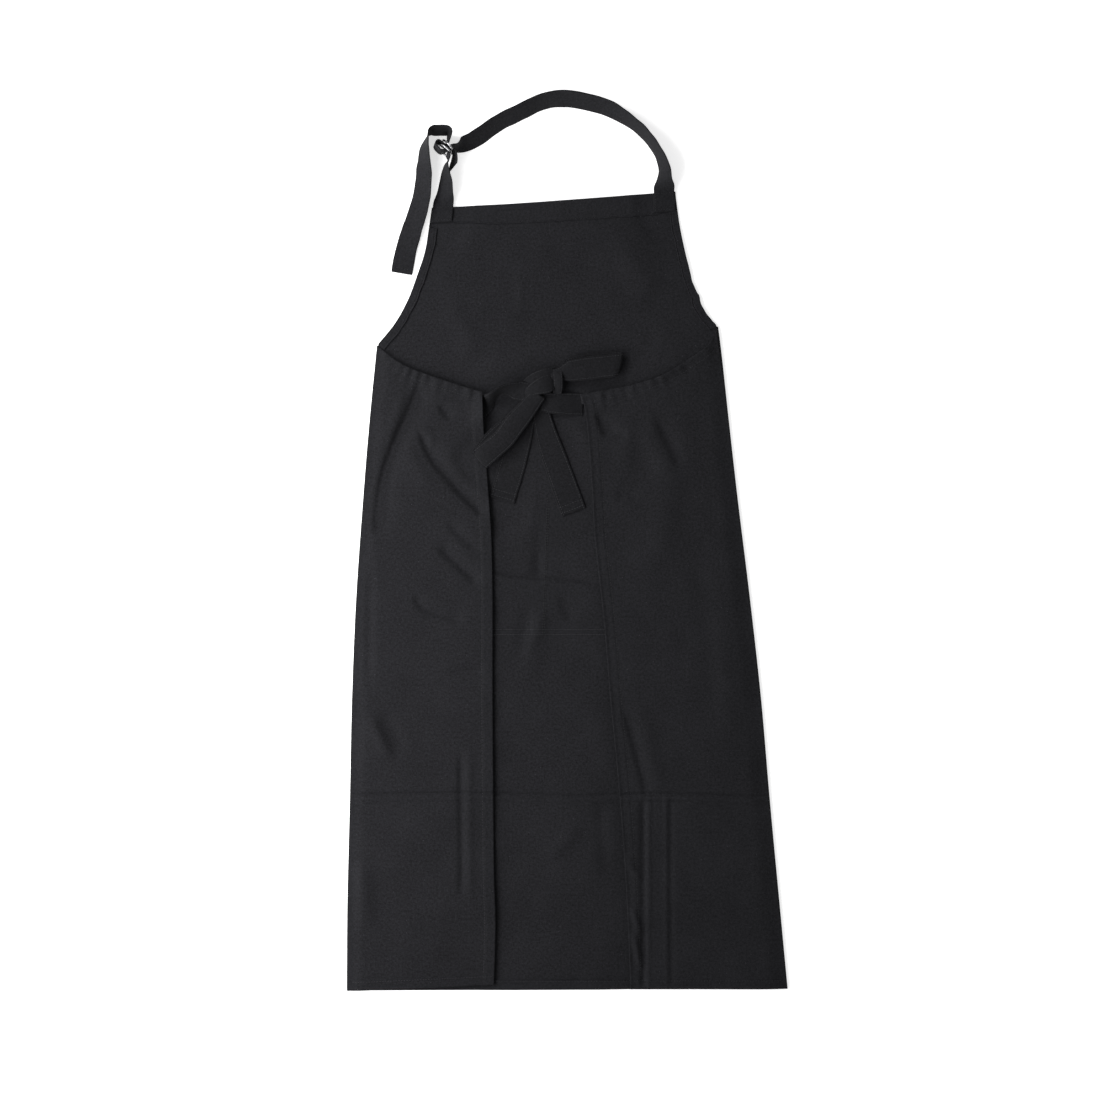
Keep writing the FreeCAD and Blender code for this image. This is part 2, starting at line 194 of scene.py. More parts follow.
PACKING_CREASE = [(-270, -308), (-120, -306), (0, -310), (120, -307), (250, -312)]
WAIST_CREASE = [(-96, -38), (-60, -41), (-20, -44), (15, -47), (42, -50)]
TAIL_LINES = [[(-45, 172), (-52, 152), (-80, 49)], [(-34, 171), (-23, 122), (8, 35)]]
BOW_LINES = [
    [(-41, 171), (-64, 143), (-107, 99)],
    [(-50, 180), (-10, 200), (66, 216)],
    [(-112, 165), (-50, 178), (30, 167)],
]
SEWN_LINES = [[(-153, 386), (-151, 412)], [(118, 400), (118, 430)]]
# The cloth is flat within the first distance from a line, and free past the second.
TAIL_FLAT, BOW_FLAT, LOOP_FLAT = (28, 50), (21, 42), (18, 40)
FRONT_LIMIT, FLAP_LIMIT, RIM_LIMITS = 5, 7, (-0.3, 2.2)
FLAP_FOLDS = 1.35               # a flap's folds are higher than listed, by this share
GROOVE_WIDTH, GROOVE_HEIGHT = 2.2, -2.0
RIDGE_BELOW, RIDGE_WIDTH, RIDGE_HEIGHT = 5.5, 3.4, 1.2


def pressed(x, y, line, fade=0.02):
    """A groove that packing has pressed across the cloth, and the ridge below it."""
    below = [(px, py - RIDGE_BELOW) for px, py in line]
    return (soft_fold(x, y, line, GROOVE_WIDTH, GROOVE_HEIGHT, fade)
            + soft_fold(x, y, below, RIDGE_WIDTH, RIDGE_HEIGHT, fade))


def bow_gap(x, y):
    """0 under the bow and the sewn strap ends, where the cloth is pressed flat, and 1 well away."""
    gaps = [step_up(nearest(x, y, line)[0], *TAIL_FLAT) for line in TAIL_LINES]
    gaps += [step_up(nearest(x, y, line)[0], *BOW_FLAT) for line in BOW_LINES + SEWN_LINES]
    return np.min(gaps, axis=0)


# Each fold's line, width or pair of widths, height, and how much of it fades out.
FRONT_FOLDS = [
    ([(-31, -78), (-40, -120), (-48, -160)], 9, 2.6),
    ([(-44, -70), (-52, -110), (-58, -150)], 9, -1.4),
    ([(16, -347), (-6, -372), (-27, -393)], (14, 6), 1.7),
    ([(38, -300), (44, -360), (48, -420)], 7, -1.6),
    ([(-34, 66), (-36, 20), (-34, -20)], (5, 14), -1.2),
    ([(-10, -60), (-2, -84), (8, -104)], (4, 10), -1.8),
    ([(-34, -6), (-36, -28), (-32, -52)], 6, -2.0),
    ([(-34, -116), (-42, -136), (-50, -156)], 6, -1.2),
    ([(-58, 330), (-57, 300), (-56, 270)], 6, 1.0), ([(60, 380), (90, 330), (110, 290)], 16, 2.0),
    ([(-150, 300), (-120, 250), (-110, 215)], 14, 2.0),
    ([(110, 260), (100, 240), (96, 215)], 9, -1.4),
]
LEFT_FOLDS = [
    ([(-178, 202), (-189, 166), (-210, 120), (-226, 70), (-234, 0)], (4, 15), -3.4, 0.15),
    ([(-196, 190), (-208, 150), (-224, 110)], (9, 5), 1.4),
    ([(-239, 0), (-241, -90), (-242, -200)], 6, -1.6),
    ([(-182, 140), (-167, 104), (-150, 82), (-127, 56), (-98, 28)], (3.2, 12), -3.0, 0.12),
    ([(-196, 128), (-182, 92), (-160, 66)], (10, 6), 0.9),
    ([(-160, -4), (-130, -32), (-107, -54)], (3.5, 10), -2.4, 0.2),
    ([(-150, 28), (-128, 4), (-104, -14)], (3.5, 9), -1.5),
    ([(-188, -60), (-173, -84), (-122, -97)], (3.5, 9), -2.0, 0.2),
    ([(-149, -160), (-122, -158), (-96, -156)], 4, -1.4),
    ([(-130, -250), (-130, -300), (-129, -400), (-131, -440)], (3, 8), -1.7, 0.15),
    ([(-119, -240), (-120, -340), (-118, -450)], (8, 5), 1.1, 0.2),
    ([(-241, -207), (-228, -236), (-212, -268)], (11, 5), 2.0),
    ([(-225, -200), (-212, -232), (-196, -262)], 9, -1.6),
    ([(-262, -380), (-250, -420), (-243, -480)], 13, 2.0),
    ([(-158, 167), (-148, 156), (-140, 147)], (3.5, 9), -2.2),
    ([(-180, 139), (-168, 128), (-166, 112)], 6, 1.8),
]
RIGHT_FOLDS = [
    ([(66, -193), (91, -286), (99, -330)], (3, 9), -1.5),
    ([(80, -180), (106, -270), (114, -330)], 10, 0.8),
    ([(98.5, -300), (98.5, -430), (98, -546)], 2.4, 1.1, 0.06),
    ([(93, -310), (93, -430), (93, -546)], 4.5, -1.6, 0.06),
    ([(121, -300), (121, -430), (122, -546)], 2.4, 1.0, 0.06),
    ([(125, -310), (125, -430), (126, -546)], 4, -0.8, 0.06),
    ([(78, -470), (86, -500), (94, -530)], 4, 1.6), ([(76, -440), (84, -462), (92, -486)], 4, 1.3),
    ([(70, -380), (80, -400), (92, -416)], 5, 1.2),
    ([(36, 160), (42, 144), (50, 124)], (4, 10), -2.2),
    ([(44, 142), (58, 134), (76, 130)], 8, -1.6),
    ([(104, 160), (120, 128), (142, 82)], (5, 12), -1.9),
    ([(90, 150), (106, 116), (128, 72)], 12, 1.5), ([(56, 56), (72, 57), (90, 55)], 6, -1.4),
    ([(60, 160), (72, 120), (70, 76)], 14, 1.6), ([(150, 160), (120, 60), (110, -60)], 22, 1.5),
    ([(180, -60), (190, -160), (200, -260)], 20, 1.6),
    ([(160, -20), (172, -110), (184, -220)], 14, -1.2),
    ([(108, 197), (140, 214), (172, 237)], 2.6, 0.6, 0.2),
    ([(100, 186), (128, 198), (160, 216)], 6, -0.7, 0.4),
]


def front_height(x, y):
    """The middle height of the bib and front panel."""
    free = step_up(x, -120, -80) * (1 - step_up(x, 35, 80)) + step_up(y, 190, 230)
    relief = 2.0 + 0.5 * waves(x, y, 3, 70) + 0.22 * waves(x, y, 4, 22)
    relief = relief + folds(x, y, FRONT_FOLDS)
    crease = pressed(x, y, PACKING_CREASE) + pressed(x, y, WAIST_CREASE, 0.15)
    relief = np.clip(relief + crease, 0, FRONT_LIMIT)
    return FRONT_Z + np.clip(free, 0, 1) * bow_gap(x, y) * relief


LEFT_TOP_LINE = smooth([
    (-232, 239), (-204, 218), (-178, 206), (-130, 190), (-103.5, 182),
])
RIGHT_TOP_LINE = smooth([
    (184, 262), (170.5, 239), (145, 220.5), (117, 203.5), (80, 191), (37.5, 183), (15.5, 179.5),
])
LEFT_EDGE_LINE = smooth([
    (-103.5, 182), (-101.5, 130), (-96, 57), (-92.4, 2), (-91, -71), (-91, -189), (-89.4, -393),
    (-87.5, -465), (-89.4, -539),
])
RIGHT_EDGE_LINE = smooth([
    (15.5, 179.5), (23, 153), (30, 70), (34, 2), (45, -99), (52, -186), (63, -300), (71.7, -421),
    (77.2, -544.5),
])


def edge_relief(x, y, top_line, edge_line, seed):
    """What the hems do to a flap: a ridge over each hem, puckers along the top seam."""
    top, top_place = nearest(x, y, top_line)
    side, side_place = nearest(x, y, edge_line)
    ridge = 0.5 * (1 - step_up(np.minimum(top, side), SIDE_HEM - 1.5, SIDE_HEM + 1.5))
    groove = 0.3 * np.exp(-((top - SIDE_HEM + 2) / 1.3) ** 2)
    size = 1.6 * np.exp(-(top / 16) ** 2) * (0.65 + 0.35 * waves(top_place, 0, seed, 30))
    puckers = size * waves(top_place, top * 0.15, seed + 1, 5.5)
    size = 0.3 * np.exp(-(side / 14) ** 2)
    return ridge - groove + puckers + size * waves(side_place, side * 0.2, seed + 2, 9)


def flap_height(x, y, relief, listed, rims, fold, reach, share=1, corner=0):
    """A flap's middle height. Its relief fades out within reach of its fold."""
    relief = relief + FLAP_FOLDS * folds(x, y, listed)
    relief = np.clip(relief + pressed(x, y, PACKING_CREASE), 0, FLAP_LIMIT)
    fold_free = step_up(nearest(x, y, fold)[0], 1, reach)
    rims = np.clip(rims, *RIM_LIMITS) * step_up(fold_free, 0.02, 0.5)
    return FLAP_Z + share * fold_free * relief + corner + rims


def left_height(x, y):
    """The middle height of the left flap."""
    relief = 3.2 + 0.6 * waves(x, y, 11, 60) + 0.22 * waves(x, y, 12, 18)
    rims = edge_relief(x, y, LEFT_TOP_LINE, LEFT_EDGE_LINE, 21)
    loop_gap = step_up(nearest(x, y, BOW_LINES[0])[0], *LOOP_FLAT)
    pulled_up = 9.5 * np.exp(-((x + 97) / 16) ** 2 - ((y - 158) / 22) ** 2)
    return flap_height(x, y, relief, LEFT_FOLDS, rims, LEFT_FOLD, 20, loop_gap, pulled_up)


def right_height(x, y):
    """The middle height of the right flap."""
    relief = 2.8 + 0.5 * waves(x, y, 31, 70) + 0.22 * waves(x, y, 32, 20)
    rims = edge_relief(x, y, RIGHT_TOP_LINE, RIGHT_EDGE_LINE, 41)
    rims = rims + 0.9 * np.exp(-(nearest(x, y, RIGHT_EDGE_LINE)[0] / 2.4) ** 2)
    return flap_height(x, y, relief, RIGHT_FOLDS, rims, RIGHT_FOLD, 24)


# ---------- meshes

scene = bpy.context.scene


def placed(name, data):
    """An object in the scene, with the given mesh, light or camera."""
    made = bpy.data.objects.new(name, data)
    scene.collection.objects.link(made)
    return made


def mesh_object(name, points, faces, uv=None):
    """A smooth-shaded mesh of points in millimetres. uv has a row for each point."""
    mesh = bpy.data.meshes.new(name)
    mesh.from_pydata((np.asarray(points) * MM).tolist(), [], faces)
    if uv is not None:
        layer = mesh.uv_layers.new(name="cloth")
        corner = np.zeros(len(mesh.loops), np.int32)
        mesh.loops.foreach_get("vertex_index", corner)
        layer.data.foreach_set("uv", (np.asarray(uv)[corner] * MM).ravel())
    mesh.shade_smooth()
    mesh.update()
    return placed(name, mesh)


def unit(v):
    return v / np.maximum(np.linalg.norm(v, axis=-1, keepdims=True), 1e-9)


def sides(middle):
    """The unit normals of a grid of points, rows x columns x 3."""
    return unit(np.cross(np.gradient(middle, axis=1), np.gradient(middle, axis=0)))


RIM_REACH = 0.4                 # how far a sheet's rim stands out, in thicknesses


def cloth_sheet(name, middle, thickness, uv):
    """A closed sheet with a rounded rim, about a grid of points: rows x columns x 3, with the
    columns running to the right of the rows."""
    rows, cols = middle.shape[:2]
    thickness = np.broadcast_to(np.asarray(thickness, float), (rows, cols))
    half = sides(middle) * (thickness / 2)[..., None]
    count = rows * cols
    index = np.arange(count).reshape(rows, cols)
    around = np.concatenate([index[0], index[1:, -1], index[-1, -2::-1], index[-2:0:-1, 0]])
    inner = index[np.clip(np.arange(rows), 1, rows - 2)][:, np.clip(np.arange(cols), 1, cols - 2)]
    flat = middle.reshape(-1, 3)
    outward = unit(flat[around] - flat[inner.ravel()[around]])
    rim = flat[around] + outward * (thickness.ravel()[around] * RIM_REACH)[:, None]
    points = np.vstack([flat + half.reshape(-1, 3), flat - half.reshape(-1, 3), rim])
    a, b = index[:-1, :-1].ravel(), index[:-1, 1:].ravel()
    c, d = index[1:, 1:].ravel(), index[1:, :-1].ravel()
    faces = np.stack([a, b, c, d], 1).tolist()
    faces += (np.stack([d, c, b, a], 1) + count).tolist()
    after = np.roll(around, -1)
    edge = 2 * count + np.arange(len(around))
    edge_after = np.roll(edge, -1)
    faces += np.stack([edge, edge_after, after, around], 1).tolist()
    faces += np.stack([around + count, after + count, edge_after, edge], 1).tolist()
    uv = np.asarray(uv).reshape(-1, 2)
    return mesh_object(name, points, faces, np.vstack([uv, uv, uv[around]]))


def spread(length, fine_start, fine_end, fine=1.2, coarse=4.5, reach=15.0):
    """Distances from 0 to length, close together near the ends that ask for it."""
    edge = np.arange(0, reach, fine)
    count = max(int((length - reach * (fine_start + fine_end)) / coarse), 2)
    first = edge if fine_start else np.array([])
    last = length - edge[::-1] if fine_end else np.array([])
    begin = reach if fine_start else 0.0
    end = length - reach if fine_end else length
    return np.concatenate([first, np.linspace(begin, end, count + 1), last])


def with_rows(distances, *places, half=9.0, fine=1.2):
    """The distances, with a close run of them around each of the given places."""
    for place in places:
        distances = distances[np.abs(distances - place) > half]
        distances = np.append(distances, np.arange(place - half, place + half + PAST, fine))
    return np.sort(distances)


def patch(left, right, bottom, top, across, up):
    """The points of a surface patch between four edge lines, which meet at its corners. left and
    right run up, bottom and top run to the right. across and up are shares from 0 to 1."""
    edges_left = at_shares(left, up)[:, None]
    edges_right = at_shares(right, up)[:, None]
    low_edge = at_shares(bottom, across)[None]
    top_edge = at_shares(top, across)[None]
    u = np.asarray(across)[None, :, None]
    v = np.asarray(up)[:, None, None]
    corners = ((1 - u) * (1 - v) * bottom[0] + u * (1 - v) * bottom[-1]
               + (1 - u) * v * top[0] + u * v * top[-1])
    return (1 - u) * edges_left + u * edges_right + (1 - v) * low_edge + v * top_edge - corners


def lifted(flat, height):
    """A grid of x, y with the given height function for z."""
    return np.dstack([flat, height(flat[..., 0], flat[..., 1])])


def leftward(line):
    """The unit directions to the left of a line, at its points."""
    along = unit(np.gradient(line, axis=0))
    return np.stack([-along[:, 1], along[:, 0]], 1)


def inset(line, width):
    """The line moved to its left, by one width or by one for each point."""
    return line + leftward(line) * np.reshape(width, (-1, 1))


# ---------- stitches

STITCH = 2.3
STITCH_GAP = 1.0
STITCH_RADIUS = 0.24
THREAD_SIDES = 5
STITCH_BODY = 0.3               # the thick part of a stitch, from its middle, in lengths
STITCH_DIP = 0.6                # how far its tips dip, in radii


def stitch_mesh(name, runs, radius=STITCH_RADIUS):
    """Sewing thread along runs, each a line of points and the cloth's normals there."""
    points, faces = [], []
    spacing = STITCH + STITCH_GAP
    turns = np.arange(THREAD_SIDES) * 2 * pi / THREAD_SIDES
    for line, normal in runs:
        total = lengths(line)[-1]
        places = np.arange(spacing / 2, total, spacing)
        if not len(places):
            continue
        middle = at_lengths(line, places)
        s = lengths(line)
        up = unit(np.stack([np.interp(places, s, normal[:, k]) for k in range(3)], 1))
        along = unit(at_lengths(line, places + 0.5) - at_lengths(line, places - 0.5))
        side = unit(np.cross(up, along))
        for m, u, a, w in zip(middle, up, along, side):
            base = len(points)
            points.append(m - a * STITCH / 2 - u * radius * STITCH_DIP)
            for share in (-STITCH_BODY, STITCH_BODY):
                for turn in turns:
                    points.append(m + a * STITCH * share
                                  + (w * cos(turn) + u * sin(turn)) * radius)
            points.append(m + a * STITCH / 2 - u * radius * STITCH_DIP)
            first = base + 1
            second = first + THREAD_SIDES
            for i in range(THREAD_SIDES):
                j = (i + 1) % THREAD_SIDES
                faces.append((base, first + j, first + i))
                faces.append((first + i, first + j, second + j, second + i))
                faces.append((second + i, second + j, second + THREAD_SIDES))
    return mesh_object(name, points, faces)


def surface_run(line, height, lift=ON_CLOTH):
    """A run of stitches along a flat line, on the surface with that height function."""
    x, y = line[:, 0], line[:, 1]
    z = height(x, y)
    slope_x = (height(x + 1, y) - height(x - 1, y)) / 2
    slope_y = (height(x, y + 1) - height(x, y - 1)) / 2
    up = unit(np.stack([-slope_x, -slope_y, np.ones_like(x)], 1))
    return np.column_stack([x, y, z]) + up * lift, up


# ---------- materials

class Shading:
    """A material being made: its shader, and ways to add nodes and join them. In the names of
    inputs, _ stands for a space."""

    def __init__(self, name):
        self.material = bpy.data.materials.new(name)
        self.material.use_nodes = True
        self.tree = self.material.node_tree

    def fill(self, node, values):
        """Sets a node's inputs and settings, or joins other nodes' outputs to its inputs."""
        for key, value in values.items():
            place = key.replace("_", " ")
            if place not in node.inputs:
                setattr(node, key, value)
            elif isinstance(value, bpy.types.NodeSocket):
                self.tree.links.new(value, node.inputs[place])
            else:
                node.inputs[place].default_value = value
        return node

    def node(self, kind, **values):
        return self.fill(self.tree.nodes.new("ShaderNode" + kind), values)

    def math(self, kind, *values):
        node = self.node("Math", operation=kind)
        for socket, value in zip(node.inputs, values):
            if isinstance(value, (int, float)):
                socket.default_value = value
            else:
                self.tree.links.new(value, socket)
        return node.outputs[0]

    def total(self, *parts):
        """The sum of outputs, each times its share."""
        scaled = [self.math("MULTIPLY", *part) for part in parts]
        out = scaled[0]
        for more in scaled[1:]:
            out = self.math("ADD", out, more)
        return out

    def tint(self, value, colour, dark, light, places=(0.0, 1.0)):
        """The colour times dark at the first place of the value, and times light at the second."""
        ramp = self.node("ValToRGB", Fac=value)
        for element, place, share in zip(ramp.color_ramp.elements, places, (dark, light)):
            element.position = place
            element.color = (*[c * share for c in colour], 1)
        return ramp.outputs["Color"]

    def surface(self, **values):
        """Gives the shader its values, and returns the finished material."""
        self.fill(self.tree.nodes["Principled BSDF"], values)
        return self.material


RIB_TURN = 27                   # degrees from the cloth's own length
YARN = 0.55                     # a yarn's width, in ribs
SLUB, FUZZ, PATCH, LINT = 3.2, 1.5, 60, 7.5     # how far apart, in millimetres
LINT_SIZE, LINT_LEFT_OUT = 0.06, 0.62


def cloth_material(name, colour, weave=0.62, bump=0.5):
    """Black cotton twill: diagonal ribs crossed by single yarns, lint, and worn patches."""
    made = Shading(name)
    node, math, total = made.node, made.math, made.total
    place = node("UVMap", uv_map="cloth").outputs["UV"]
    turned = node("Mapping", Vector=place, Rotation=(0, 0, radians(RIB_TURN))).outputs["Vector"]
    ribs = node("TexWave", Vector=turned, Scale=1 / (weave * MM * 2 * pi), Distortion=0.6,
                Detail=1.0, Detail_Scale=2.0).outputs["Fac"]
    yarns = node("TexWave", Vector=place, Scale=1 / (weave * YARN * MM * 2 * pi), Distortion=0.4,
                 bands_direction="Y").outputs["Fac"]
    slub, fuzz, patches = (
        node("TexNoise", Vector=place, Scale=1 / (size * MM), Detail=detail).outputs["Fac"]
        for size, detail in ((SLUB, 3.0), (FUZZ, 2.0), (PATCH, 4.0)))
    lint = node("TexVoronoi", Vector=place, Scale=1 / (LINT * MM))
    chance = node("SeparateColor", Color=lint.outputs["Color"]).outputs[0]
    lint_mask = math("MULTIPLY", math("LESS_THAN", lint.outputs["Distance"], LINT_SIZE),
                     math("GREATER_THAN", chance, LINT_LEFT_OUT))
    weave_height = total((ribs, 0.7), (yarns, 0.3))
    tone = total((weave_height, 0.2), (slub, 0.75), (fuzz, 0.75), (patches, 0.25))
    tint = made.tint(math("MULTIPLY", tone, 0.52), colour, 0.4, 1.7, (0.34, 0.7))
    mix = node("Mix", data_type="RGBA", Factor=lint_mask, A=tint, B=(*[c * 3.2 for c in colour], 1))
    height = math("ADD", weave_height, math("MULTIPLY", slub, 1.2))
    bumps = node("Bump", Strength=bump, Distance=0.25 * MM, Height=height)
    return made.surface(
        Specular_IOR_Level=0.08, Sheen_Weight=0.02, Sheen_Roughness=0.55,
        Base_Color=mix.outputs["Result"], Normal=bumps.outputs["Normal"],
        Roughness=math("ADD", math("MULTIPLY", slub, 0.14), 0.76))


def thread_material(name, colour):
    """Twisted polyester thread."""
    made = Shading(name)
    where = made.node("TexCoord").outputs["Object"]
    noise = made.node("TexNoise", Vector=where, Scale=900).outputs["Fac"]
    return made.surface(Specular_IOR_Level=0.3, Roughness=0.5,
                        Base_Color=made.tint(noise, colour, 0.6, 1.5))


def metal_material():
    """Bright nickel-plated wire with fine scratches."""
    made = Shading("ring_metal")
    where = made.node("TexCoord").outputs["Object"]
    noise = made.node("TexNoise", Vector=where, Scale=420, Detail=5).outputs["Fac"]
    rough = made.node("MapRange", To_Min=0.12, To_Max=0.32, Value=noise)
    bumps = made.node("Bump", Strength=0.08, Distance=0.1 * MM, Height=noise)
    return made.surface(Metallic=1.0, Base_Color=(0.30, 0.30, 0.31, 1),
                        Roughness=rough.outputs["Result"], Normal=bumps.outputs["Normal"])


BLACK = (0.0118, 0.0118, 0.0136)
TWILL = cloth_material("apron_twill", BLACK)
STRAP_TWILL = cloth_material("strap_twill", [c * 0.95 for c in BLACK], 0.55, 0.45)
# The ties' twill is darker than the apron's: painted shade, for the shadow that falls in and around
# the bow.
SHADED_TIE_TWILL = cloth_material("tie_twill_painted_shade", [c * 0.76 for c in BLACK], 0.6, 0.5)
THREAD = thread_material("black_thread", (0.012, 0.012, 0.014))
# Black thread, darker than the cloth: painted shade, so that its rows draw the dark lines of the
# grooves and gaps they lie along.
SHADE_THREAD = thread_material("thread_painted_shade", (0.004, 0.004, 0.005))
# Thread lighter than the cloth: painted highlight, for the light caught along the ties' folded
# edges and the pocket's seam rows.
HIGHLIGHT_THREAD = thread_material("thread_painted_highlight", (0.023, 0.023, 0.026))
METAL = metal_material()


def dress(piece, surface, body=None, nodes=()):
    """Gives a piece its material and body, and hides the CAD nodes that it stands for."""
    piece.data.materials.append(surface)
    if body:
        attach(piece, body)
    if nodes:
        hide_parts(*nodes)
    return piece


# ---------- bib and front panel

def shoelace(line):
    """The area inside a closed line, in square metres."""
    x, y = line[:, 0], line[:, 1]
    return abs(np.dot(x, np.roll(y, -1)) - np.dot(y, np.roll(x, -1))) / 2 * MM * MM


def ruffled(line):
    """The right armhole's edge, whose turned bias edge ripples near the hip."""
    s = lengths(line)
    size = 0.45 * step_up(s, 70, 110) * (1 - step_up(s, 160, 172))
    ripple = size * waves(s, 0, 77, 9) + 1.3 * np.exp(-((s - 131) / 4) ** 2)
    return inset(line, ripple)


CREASE_ROW = 236.0               # from the hem, up a side, to the packing crease
FLAP_CREASE_ROW = 245.0          # the same on a flap
WAIST_ROW = 500.0                # and to the crease at the waist


def front_side(fold, inward):
    line = smooth(fold)
    return line + np.array([inward * FOLD_RADIUS, 0])


def build_front():
    left_low = front_side(LEFT_FOLD, 1)[::-1]
    right_low = front_side(RIGHT_FOLD, -1)[::-1]
    left_high = smooth(LEFT_ARMHOLE)[::-1]
    left_high[0] = left_low[-1]
    right_high = ruffled(at_lengths(smooth(RIGHT_ARMHOLE), np.arange(0, ARMHOLE_LENGTH, 2.0)))[::-1]
    right_high[0] = right_low[-1]
    hips = np.stack([left_low[-1], right_low[-1]])
    hem = np.stack([left_low[0], right_low[0]])
    across = spread(FRONT_WIDTH, True, True) / FRONT_WIDTH
    up = with_rows(spread(FRONT_LENGTH, True, False), CREASE_ROW, WAIST_ROW) / FRONT_LENGTH
    low_part = patch(left_low, right_low, hem, hips, across, up)
    bib_up = spread(ARMHOLE_LENGTH, False, True, 1.6, 3.5, 8) / ARMHOLE_LENGTH
    high_part = patch(left_high, right_high, hips, smooth(BIB_TOP), across, bib_up)
    flat = np.vstack([low_part, high_part[1:]])
    piece = cloth_sheet("front_cloth", lifted(flat, front_height), CLOTH, flat)
    dress(piece, TWILL, "apron", ["front_panel"])
    outline = np.vstack([hem, right_low, right_high[1:], smooth(BIB_TOP)[::-1], left_high[::-1],
                         left_low[::-1]])
    return piece, shoelace(outline), left_high, right_high


def hem_width(line, widths):
    """The width of a hem at each point of a line, from a list of places along x."""
    return np.interp(line[:, 0], *np.array(widths, float).T)


GROOVE_DEPTH, GROOVE_IN, GROOVE_SPAN = 0.5, 1.6, 0.6     # where a hem's stitches pull it down


def hem_band(name, line, width, height, above, body=None, nodes=(), ripple=0.0, seed=1, widths=()):
    """A turned hem: a band on the left of a line, lying on (above=1) or under (-1) the cloth.
    widths lists places along x with the band's own width there."""
    rows = at_lengths(line, np.arange(0, lengths(line)[-1], 3.0))
    rows = np.vstack([rows, line[-1:]])
    inner = np.linspace(3.4, width - 3.4, max(int(width / 4), 2))
    across = np.concatenate([[0.3, 1.0, 2.0], inner,
                             width - np.array([2.6, 2.1, GROOVE_IN, 1.1, 0.5, 0])])
    s = lengths(rows)[:, None]
    wobble = ripple * 2.0 * waves(s, 0, seed, 12) * (across / width)[None]
    share = hem_width(rows, widths)[:, None] / width if widths else 1
    reach = across[None] * share + wobble
    flat = rows[:, None] + leftward(rows)[:, None] * reach[..., None]
    z = height(flat[..., 0], flat[..., 1])
    groove = GROOVE_DEPTH * np.exp(-((across - width + GROOVE_IN) / GROOVE_SPAN) ** 2)[None]
    puffy = ripple * waves(s, across[None] * 0.3, seed + 5, 8) + 0.6 * (across[None] / width) ** 3
    lift = above * (CLOTH / 2 + TURNED / 2) + (puffy - groove if above > 0 else 0)
    middle = np.dstack([flat, z + lift])
    uv = np.dstack([np.broadcast_to(across[None], z.shape), np.broadcast_to(s, z.shape)])
    grid = middle[:, ::-1] if above else middle
    piece = cloth_sheet(name, grid, TURNED, uv[:, ::-1])
    dress(piece, TWILL, body, nodes)
    return piece


def stitch_line(name, line, inward, height, body, lift=ON_CLOTH, thread=THREAD):
    """A row of stitches at a distance inward from a line, on the left of it."""
    piece = stitch_mesh(name, [surface_run(inset(line, inward), height, lift)])
    return dress(piece, thread, body)


front, front_area, left_high, right_high = build_front()
top_line = smooth(BIB_TOP)[::-1]
BIB_HEM_WIDTHS = [(-165, 17.5), (-138, 18.5), (-92, 23), (-32, 24.5), (45, 25.5), (105, 26),
                  (131, 21.5)]
hem_lift = CLOTH / 2 + TURNED + 0.02
bib_hem = hem_band("bib_top_hem_cloth", top_line, BIB_HEM, front_height, 1, "apron",
                   ["bib_top_hem"], 0.12, 51, BIB_HEM_WIDTHS)
left_arm_line = left_high[::-1][8:-1]
right_arm_line = right_high[:-6]
left_arm = hem_band("left_armhole_hem_cloth", left_arm_line, ARMHOLE_HEM, front_height, 1, "apron",
                    ["left_armhole_hem"], 0.22, 61)
right_arm = hem_band("right_armhole_hem_cloth", right_arm_line, ARMHOLE_HEM, front_height, 1,
                     "apron", ["right_armhole_hem"], 0.35, 71)
hem_ends = np.array([[LEFT_FOLD[-1][0] + 3, LEFT_FOLD[-1][1]],
                     [RIGHT_FOLD[-1][0] - 3.5, RIGHT_FOLD[-1][1]]], float)
bottom_line = at_shares(hem_ends, np.linspace(0, 1, 90))
front_hem = hem_band("front_bottom_hem_cloth", bottom_line, BOTTOM_HEM, front_height, 1, "apron",
                     ["front_bottom_hem"], 0.05, 81)
# The bib and armhole rows are of the darkest thread, which paints the shade along those hems'
# edges.
for name, line, width, thread in [
        ("bib_hem_stitches", top_line, hem_width(top_line, BIB_HEM_WIDTHS), SHADE_THREAD),
        ("left_armhole_stitches", left_arm_line, ARMHOLE_HEM, SHADE_THREAD),
        ("right_armhole_stitches", right_arm_line, ARMHOLE_HEM, SHADE_THREAD),
        ("front_hem_stitches", bottom_line, BOTTOM_HEM, THREAD)]:
    stitch_line(name, line, width - HEM_ROW, front_height, "apron", hem_lift, thread)


# ---------- flaps

